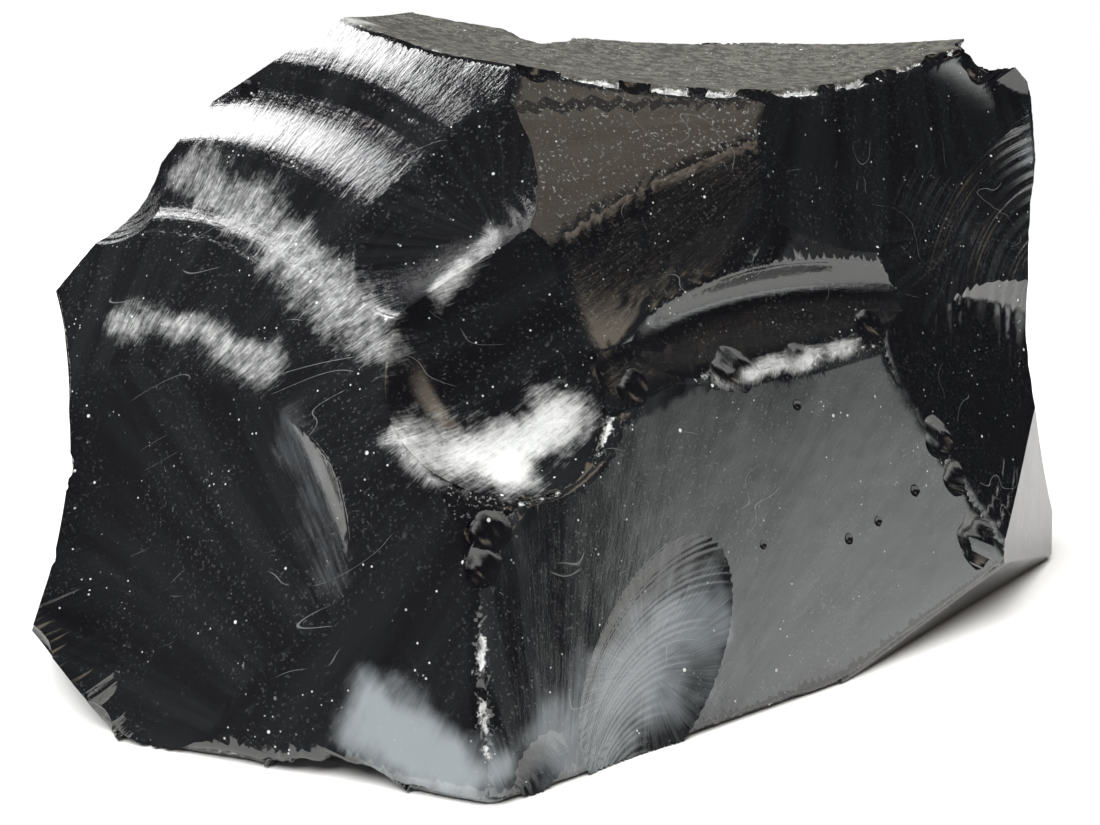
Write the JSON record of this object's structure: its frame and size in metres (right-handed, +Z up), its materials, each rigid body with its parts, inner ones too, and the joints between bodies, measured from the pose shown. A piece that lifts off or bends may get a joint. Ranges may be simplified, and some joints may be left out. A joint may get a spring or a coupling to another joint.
{
  "type": "obsidian chunk",
  "caption": "Rough block of black volcanic glass with shell-shaped fracture faces, sharp chipped ridges and a flat underside it stands on.",
  "frame": {"origin": "middle of the bounding box's footprint, on the ground plane under the chunk", "axes": "+Z up from the flat underside, +X along the long side towards the fluted right end, -Y out of the broad front that carries the largest fracture faces"},
  "size_m": [0.2235, 0.1582, 0.1238],
  "materials": {
    "obsidian": "natural glassy fracture, mirror-like on most faces, matte grey on the weathered top"
  },
  "bodies": {
    "root": {"chunk": "obsidian"}
  },
  "joints": []
}
